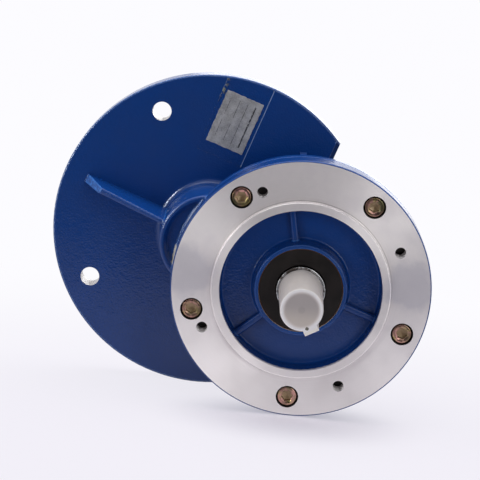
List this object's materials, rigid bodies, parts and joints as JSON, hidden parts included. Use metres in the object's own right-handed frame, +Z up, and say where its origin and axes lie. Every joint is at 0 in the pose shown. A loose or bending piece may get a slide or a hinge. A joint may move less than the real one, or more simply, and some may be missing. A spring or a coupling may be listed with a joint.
{
  "type": "helical gear reducer",
  "caption": "Flange-mounted helical gear reducer with a cast case, an offset round motor flange, a hollow keyed pinion and a solid output shaft under a plastic cap.",
  "frame": {"origin": "on the output axis, in the plane of the machined output flange face", "axes": "-Y along the output shaft, out of the flange; +Y towards the motor; +Z up with both round rims standing on one floor"},
  "size_m": [0.2397, 0.1228, 0.2],
  "materials": {
    "blue_paint": "gloss",
    "flange_paint": "gloss",
    "gasket_paper": "matte",
    "yellow_zinc": "satin",
    "plate": "satin",
    "seal_rubber": "satin",
    "spring_steel": "satin",
    "shaft_steel": "satin",
    "gear_steel": "satin",
    "bearing_steel": "polished",
    "cage_steel": "satin",
    "cap_plastic": "satin"
  },
  "bodies": {
    "housing": {"gear_case": "blue_paint", "output_flange": "flange_paint", "flange_gasket": "gasket_paper", "flange_screws": "yellow_zinc", "nameplate": "plate", "output_oil_seal": "seal_rubber", "input_oil_seal": "seal_rubber", "case_circlip": "spring_steel", "output_front_outer_ring": "bearing_steel", "output_rear_outer_ring": "bearing_steel", "input_front_outer_ring": "bearing_steel", "input_rear_outer_ring": "bearing_steel"},
    "output_set": {"output_shaft": "shaft_steel", "output_key": "shaft_steel", "output_gear": "gear_steel", "gear_key": "shaft_steel", "gear_spacer": "shaft_steel", "output_front_inner_ring": "bearing_steel", "output_rear_inner_ring": "bearing_steel"},
    "input_set": {"input_pinion": "gear_steel", "pinion_circlip": "spring_steel", "input_front_inner_ring": "bearing_steel", "input_rear_inner_ring": "bearing_steel"},
    "cap": {"shaft_cap": "cap_plastic"},
    "output_front_rollers": {"output_front_balls": "bearing_steel", "output_front_cage": "cage_steel"},
    "output_rear_rollers": {"output_rear_balls": "bearing_steel", "output_rear_cage": "cage_steel"},
    "input_front_rollers": {"input_front_balls": "bearing_steel", "input_front_cage": "cage_steel"},
    "input_rear_rollers": {"input_rear_balls": "bearing_steel", "input_rear_cage": "cage_steel"}
  },
  "joints": [
    {"name": "output_spin", "type": "hinge", "parent": "housing", "child": "output_set", "pos_m": [0, 0, 0], "axis": [0, -1, 0], "continuous": true},
    {"name": "input_spin", "type": "hinge", "parent": "housing", "child": "input_set", "pos_m": [-0.05974, 0, 0.02], "axis": [0, -1, 0], "continuous": true},
    {"name": "cap_pull", "type": "slide", "parent": "output_set", "child": "cap", "axis": [0, -1, 0], "range_m": [0, 0.055]},
    {"name": "output_front_roll", "type": "hinge", "parent": "housing", "child": "output_front_rollers", "pos_m": [0, 0, 0], "axis": [0, -1, 0], "continuous": true},
    {"name": "output_rear_roll", "type": "hinge", "parent": "housing", "child": "output_rear_rollers", "pos_m": [0, 0, 0], "axis": [0, -1, 0], "continuous": true},
    {"name": "input_front_roll", "type": "hinge", "parent": "housing", "child": "input_front_rollers", "pos_m": [-0.05974, 0, 0.02], "axis": [0, -1, 0], "continuous": true},
    {"name": "input_rear_roll", "type": "hinge", "parent": "housing", "child": "input_rear_rollers", "pos_m": [-0.05974, 0, 0.02], "axis": [0, -1, 0], "continuous": true}
  ],
  "couplings": [
    {"joint": "input_spin", "follows": "output_spin", "ratio": -2.9412},
    {"joint": "output_front_roll", "follows": "output_spin", "ratio": 0.41765},
    {"joint": "output_rear_roll", "follows": "output_spin", "ratio": 0.42896},
    {"joint": "input_front_roll", "follows": "output_spin", "ratio": -1.3112},
    {"joint": "input_rear_roll", "follows": "output_spin", "ratio": -1.3333}
  ]
}
